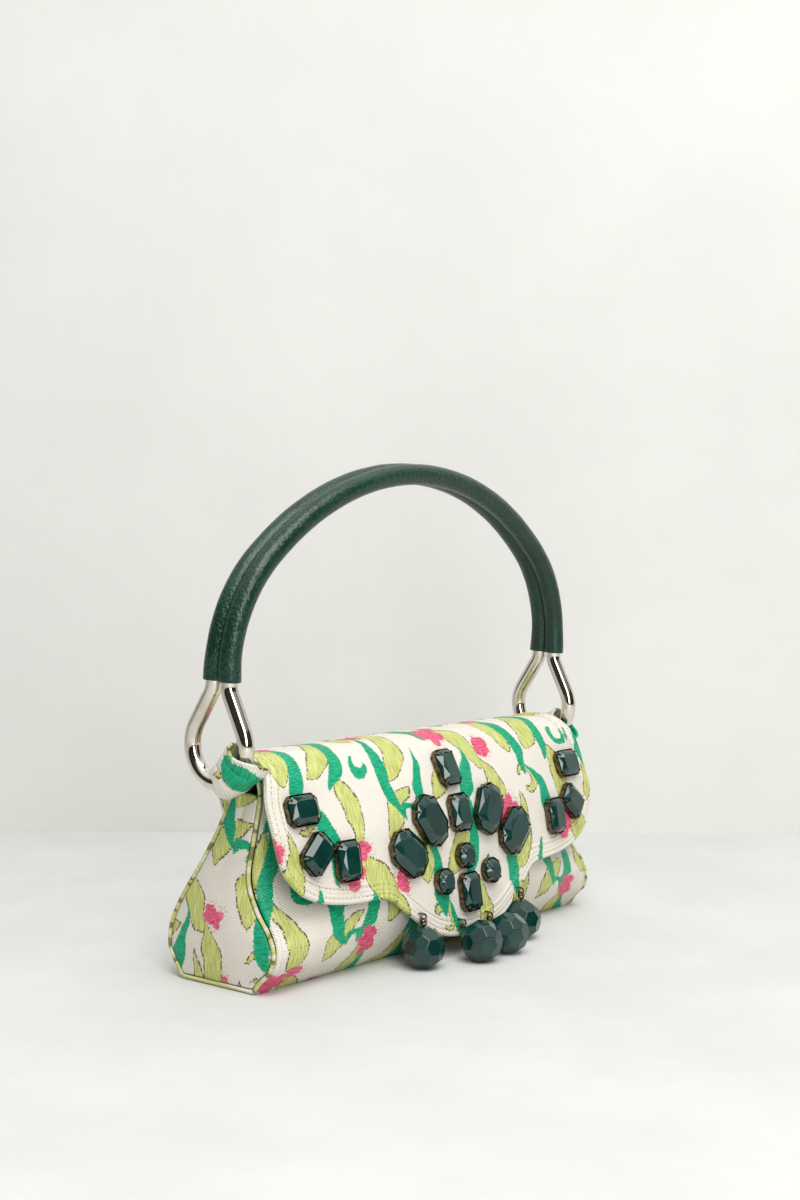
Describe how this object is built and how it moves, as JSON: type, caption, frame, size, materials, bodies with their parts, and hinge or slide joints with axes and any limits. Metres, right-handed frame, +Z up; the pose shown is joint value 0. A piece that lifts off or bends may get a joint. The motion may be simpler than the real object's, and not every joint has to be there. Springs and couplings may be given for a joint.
{
  "type": "shoulder bag",
  "caption": "Small structured brocade shoulder bag with a scalloped jewelled flap, hanging faceted beads and an arched leather handle on ring fittings.",
  "frame": {"origin": "middle of the flat base, on the surface that the bag stands on", "axes": "+X along the bag, with the left end at -X as seen from the front; the flap faces -Y; +Z up"},
  "size_m": [0.2706, 0.1129, 0.2462],
  "materials": {
    "brocade": "woven twill with raised floral threads",
    "piping": "cloth-covered cord",
    "lining": "plain smooth weave",
    "board": "raw fibreboard",
    "interfacing": "bonded felt",
    "snap_steel": "satin",
    "stone": "polished, faceted",
    "bead": "polished, faceted",
    "aged_brass": "antique, worn bright on its edges",
    "leather": "smooth fine grain, semi-gloss",
    "cord": "twisted cotton",
    "nickel": "polished"
  },
  "bodies": {
    "bag": {"front_panel": "brocade", "back_panel": "brocade", "base_panel": "brocade", "gusset_left": "brocade", "gusset_right": "brocade", "piping_left": "piping", "piping_right": "piping", "lining_front": "lining", "lining_back": "lining", "lining_left": "lining", "lining_right": "lining", "lining_base": "lining", "base_board": "board", "slip_pocket": "lining", "snap_socket": "snap_steel", "ring_loop_left": "brocade", "ring_loop_right": "brocade"},
    "flap": {"flap": "brocade", "flap_interfacing": "interfacing", "flap_lining": "lining", "flap_border": "brocade", "snap_stud": "snap_steel", "small_stones": "stone", "small_settings": "aged_brass", "large_stones": "stone", "large_settings": "aged_brass", "round_stones": "stone", "round_settings": "aged_brass", "bead_links": "aged_brass"},
    "handle": {"handle_cover": "leather", "handle_core_front": "cord", "handle_core_back": "cord", "ring_left": "nickel", "ring_right": "nickel"},
    "hanging_bead_outer_left": {"bead_outer_left": "bead", "eye_outer_left": "aged_brass"},
    "hanging_bead_inner_left": {"bead_inner_left": "bead", "eye_inner_left": "aged_brass"},
    "hanging_bead_inner_right": {"bead_inner_right": "bead", "eye_inner_right": "aged_brass"},
    "hanging_bead_outer_right": {"bead_outer_right": "bead", "eye_outer_right": "aged_brass"}
  },
  "joints": [
    {"name": "flap_hinge", "type": "hinge", "parent": "bag", "child": "flap", "pos_m": [0, 0.006, 0.103], "axis": [-1, 0, 0], "range_deg": [0, 70]},
    {"name": "handle_swing", "type": "hinge", "parent": "bag", "child": "handle", "pos_m": [0, -0.003, 0.1125], "axis": [-1, 0, 0], "range_deg": [-80, 80]},
    {"name": "bead_swing_outer_left", "type": "hinge", "parent": "flap", "child": "hanging_bead_outer_left", "pos_m": [-0.04, -0.05193, 0.02241], "axis": [-1, 0, 0], "range_deg": [-10, 80]},
    {"name": "bead_swing_inner_left", "type": "hinge", "parent": "flap", "child": "hanging_bead_inner_left", "pos_m": [-0.01095, -0.05365, 0.01484], "axis": [-1, 0, 0], "range_deg": [0, 45]},
    {"name": "bead_swing_inner_right", "type": "hinge", "parent": "flap", "child": "hanging_bead_inner_right", "pos_m": [0.01095, -0.05365, 0.01484], "axis": [-1, 0, 0], "range_deg": [0, 45]},
    {"name": "bead_swing_outer_right", "type": "hinge", "parent": "flap", "child": "hanging_bead_outer_right", "pos_m": [0.04, -0.05193, 0.02241], "axis": [-1, 0, 0], "range_deg": [-10, 80]}
  ]
}
